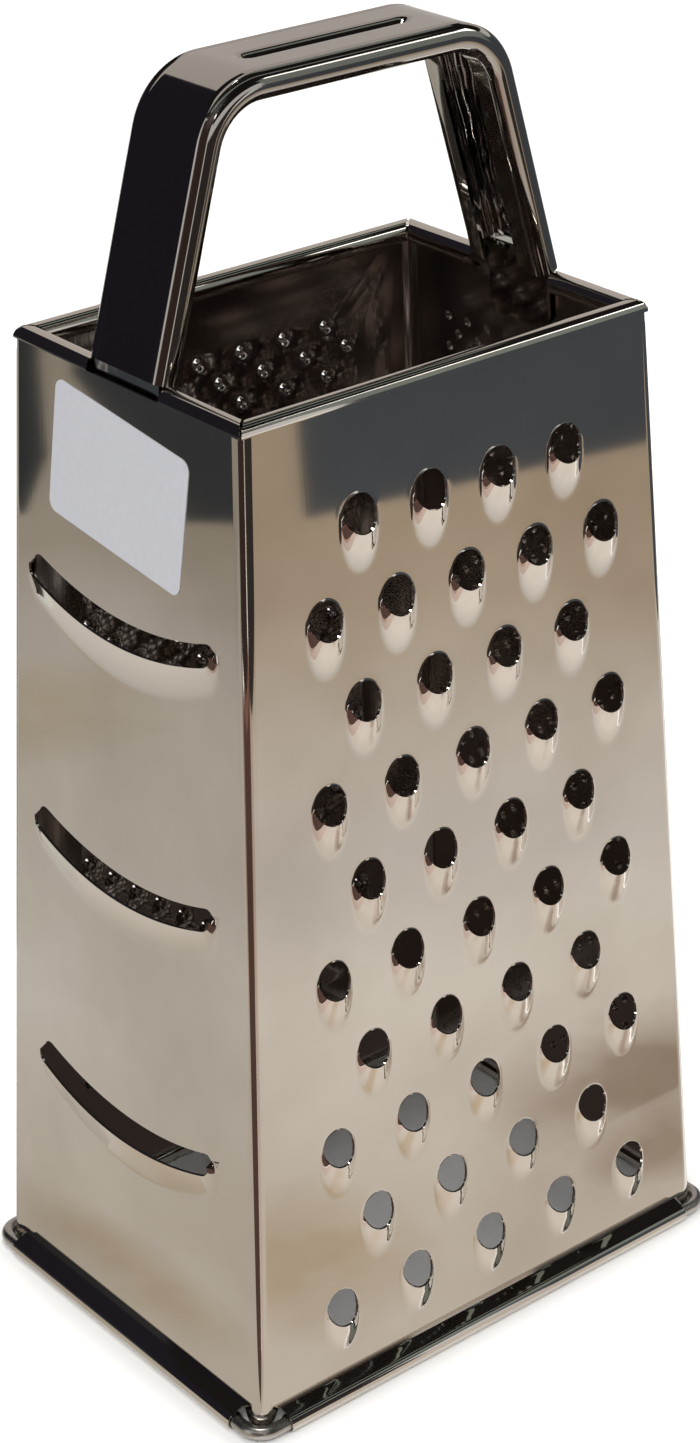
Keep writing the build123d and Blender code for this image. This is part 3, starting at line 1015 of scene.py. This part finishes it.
def makeLight(name, place, size):
    data = bpy.data.lights.new(name, "AREA")
    data.shape = "RECTANGLE"
    data.size = data.size_y = size
    data.energy = studio[name]
    lamp = bpy.data.objects.new(name, data)
    lamp.location = place
    towards = Vector(studio["aim"]) - Vector(place)
    lamp.rotation_euler = towards.to_track_quat("-Z", "Y").to_euler()
    scene.collection.objects.link(lamp)


def hideFromLight(card):
    # only the steel sees it: it lights and shades nothing
    for ray in ("camera", "diffuse", "transmission", "volume_scatter", "shadow"):
        setattr(card, "visible_" + ray, False)


def spreadColours(tree, codes, start, end):
    # the colours follow each other from start to end, with uneven borders
    place = add(tree, "TexCoord").outputs["Object"]
    blotches = add(tree, "TexNoise", {
        "Vector": place, "Scale": studio["blotchScale"], "Detail": 2,
    })
    first, span = Vector(start) * mm, (Vector(end) - Vector(start)) * mm
    offset = add(tree, "VectorMath", {"operation": "SUBTRACT", 0: place, 1: first})
    along = add(tree, "VectorMath", {
        "operation": "DOT_PRODUCT", 0: offset.outputs[0], 1: span / span.length_squared,
    })
    uneven = add(tree, "MapRange", {
        "Value": blotches.outputs["Fac"], "To Min": -studio["unevenness"],
        "To Max": studio["unevenness"],
    })
    share = add(tree, "Math", {
        "operation": "ADD", 0: along.outputs["Value"], 1: uneven.outputs[0],
    })
    ramp = add(tree, "ValToRGB", {"Fac": share.outputs[0]})
    stops = ramp.color_ramp.elements
    while len(stops) < len(codes):
        stops.new(0.5)
    for i, code in enumerate(codes):
        stops[i].position = i / (len(codes) - 1)
        stops[i].color = colour(code)
    return ramp.outputs["Color"]


def makeCard(name, corners, codes, start=None, end=None):
    card = draw(name, corners, closed=True)
    fillIn(card)
    material, tree = newMaterial(name)
    tone = spreadColours(tree, codes, start, end) if start else colour(codes[0])
    glow = add(tree, "Emission", {"Color": tone})
    add(tree, "OutputMaterial", {"Surface": glow.outputs[0]})
    card.data.materials.append(material)
    hideFromLight(card)


def upright(start, end, low, high):
    return [(*start, low), (*end, low), (*end, high), (*start, high)]


def flat(height, *corners):
    return [(x, y, height) for x, y in corners]


def makeShadePatch(name, centre, size, code):
    # a patch of painted shade on the floor, seen only by the steel, whose colour fades out towards
    # its rim
    (x, y), (u, v), height = centre, size, studio["shadePatchHeight"]
    shadePatch = draw(name, flat(height, (-u, -v), (u, -v), (u, v), (-u, v)), closed=True)
    fillIn(shadePatch)
    shadePatch.data.transform(Matrix.Translation((x * mm, y * mm, 0)))
    material, tree = newMaterial(name)
    place = add(tree, "TexCoord").outputs["Object"]
    spread = add(tree, "Mapping", {
        "vector_type": "TEXTURE", "Vector": place, "Location": (x * mm, y * mm, height * mm),
        "Scale": (u * mm, v * mm, 1),
    })
    fade = add(tree, "TexGradient", {"gradient_type": "SPHERICAL", "Vector": spread.outputs[0]})
    patches = add(tree, "TexNoise", {
        "Vector": place, "Scale": studio["shadePatchScale"], "Detail": 3,
    })
    mask = add(tree, "Math", {
        "operation": "MULTIPLY", 0: fade.outputs["Fac"], 1: patches.outputs["Fac"],
    })
    share = add(tree, "MapRange", {
        "Value": mask.outputs[0], "From Min": studio["shadePatchFrom"], "From Max": studio["shadePatchTo"],
    })
    clear = add(tree, "BsdfTransparent")
    glow = add(tree, "Emission", {"Color": colour(code)})
    blend = add(tree, "MixShader", {
        "Fac": share.outputs[0], 1: clear.outputs[0], 2: glow.outputs[0],
    })
    add(tree, "OutputMaterial", {"Surface": blend.outputs[0]})
    shadePatch.data.materials.append(material)
    hideFromLight(shadePatch)


makeFloor()
world = bpy.data.worlds.new("studio")
scene.world = world
world.use_nodes = True
background = world.node_tree.nodes["Background"]
background.inputs["Color"].default_value = (1, 1, 1, 1)
background.inputs["Strength"].default_value = studio["world"]
makeLight("key", (-0.9, -0.9, 1.5), 0.9)
makeLight("fill", (1.2, -0.8, 0.9), 0.7)
makeLight("glint", (0, 0.1, 1.2), 0.2)  # sparks on the edges inside the box
# mats on the floor and cards round the box, in millimetres, which are what its walls mirror: their
# corners and colours, and for more than one colour the line that these follow
cards = [
    ("frontMat", flat(0.4, (-56, -43), (900, -43), (900, -900), (-56, -900)),
     ("#DED6CC", "#E9E3DB", "#DED9D4", "#D5CDC2", "#BEAF9D", "#B7A793"),
     (60, -60, 0), (230, -400, 0)),
    ("bendMat", flat(0.3, (-56, -43), (-56, -900), (-600, -900), (-222, -402)),
     ("#DCC9BF", "#C6B3A8"), (-60, -60, 0), (-200, -400, 0)),
    ("bendSideMat", flat(0.3, (-57, -60), (-439, -143), (-900, -300), (-900, -60)),
     ("#C8C2B8", "#9D9C95"), (-60, -60, 0), (-440, -100, 0)),
    ("leftMat", flat(0.4, (-56, -60), (-56, 900), (-900, 900), (-900, -60)),
     ("#C9C2B8", "#D3CFC8", "#CDC8C2", "#C4BFB7", "#BCB6B0", "#A69F94"),
     (-75, 40, 0), (-330, 300, 0)),
    ("redMat",
     flat(0.6, (-110, -215), (-200, -420), (-420, -420), (-420, -60), (-230, -60), (-180, -160)),
     ("#D0B5A8", "#8C6A5C"), (-130, -130, 0), (-300, -300, 0)),
    ("cornerMat", flat(0.8, (-58, -44), (-222, -402), (-439, -143)), ("#5C4842",)),
    ("behindMat", flat(0.4, (-57, 43), (320, 43), (320, 900), (-57, 900)),
     ("#B9B4AA", "#DADCD4"), (0, 60, 0), (0, 220, 0)),
    # painted shade: a dark mat where the box's own shade lies on the ground, which its inside
    # mirrors
    ("paintedShadeUnderBox", flat(1.5, (-49, -35), (49, -35), (49, 35), (-49, 35)), ("#3A3330",)),
    ("legMat", flat(0.8, (-50, 150), (40, 150), (40, 420), (-50, 420)), ("#34302D",)),
    ("legCard", upright((-215, -395), (190, -395), 0, 260), ("#3A3634",)),
    ("rightCard", upright((345, -200), (345, 150), 0, 300), ("#4E5359",)),
    ("frontCard", upright((246, -404), (900, -236), 0, 240), ("#4E5359",)),
    ("frontHighCard", upright((246, -404), (900, -236), 240, 560), ("#8A928D",)),
    ("leftCard", upright((-400, 292), (-320, 345), 0, 120), ("#3C3F43",)),
    ("leftCardSide",
     [(-320, 345, 0), (-320, 398, 27), (-320, 406, 31), (-320, 406, 120), (-320, 345, 120)],
     ("#3C3F43",)),
    ("farLeftCard",
     [(-320, 418, 0), (-320, 900, 0), (-320, 900, 120), (-320, 428, 120), (-320, 424, 30)],
     ("#33373B",)),
    ("farLeftMat", flat(1, (-280, 372), (-280, 900), (-320, 900), (-320, 418)), ("#33373B",)),
    ("cameraCard", upright((-490, -120), (-270, -400), 0, 600), ("#40332F",)),
    ("backRightCard", upright((1300, 250), (-60, 1150), 120, 1290), ("#C8C2BE",)),
    ("backLeftCard", upright((-70, 1150), (-1100, 350), 0, 1290), ("#24222A",)),
    ("ceiling", flat(1300, (-1200, -2600), (2600, -2600), (2600, 2100), (-1200, 2100)),
     ("#1F1D1C",)),
    ("ceilingStrip", flat(1290, (-900, 60), (900, 60), (900, 240), (-900, 240)), ("#8F9995",)),
    ("ceilingStripNear", flat(1290, (-900, -420), (900, -420), (900, -300), (-900, -300)),
     ("#8F9995",)),
]
for card in cards:
    makeCard(*card)
# soft patches of painted shade on the floor, which the lower parts of both walls mirror: centre and
# half widths in millimetres
shadePatches = [
    ("rightShadePatch", (80, -80), (44, 32), "#B0A092"),
    ("rightCornerShadePatch", (64, -57), (24, 14), "#B8A89A"),
    ("leftShadePatch", (-14, -76), (30, 34), "#CDBDA6"),
    ("wallShadePatch", (-64, 14), (10, 44), "#BBAF9B"),
    ("wallHighShadePatch", (-195, 245), (56, 40), "#BBB2A2"),
]
for shadePatch in shadePatches:
    makeShadePatch(*shadePatch)
scene.view_settings.view_transform = "Standard"
print("studio made")
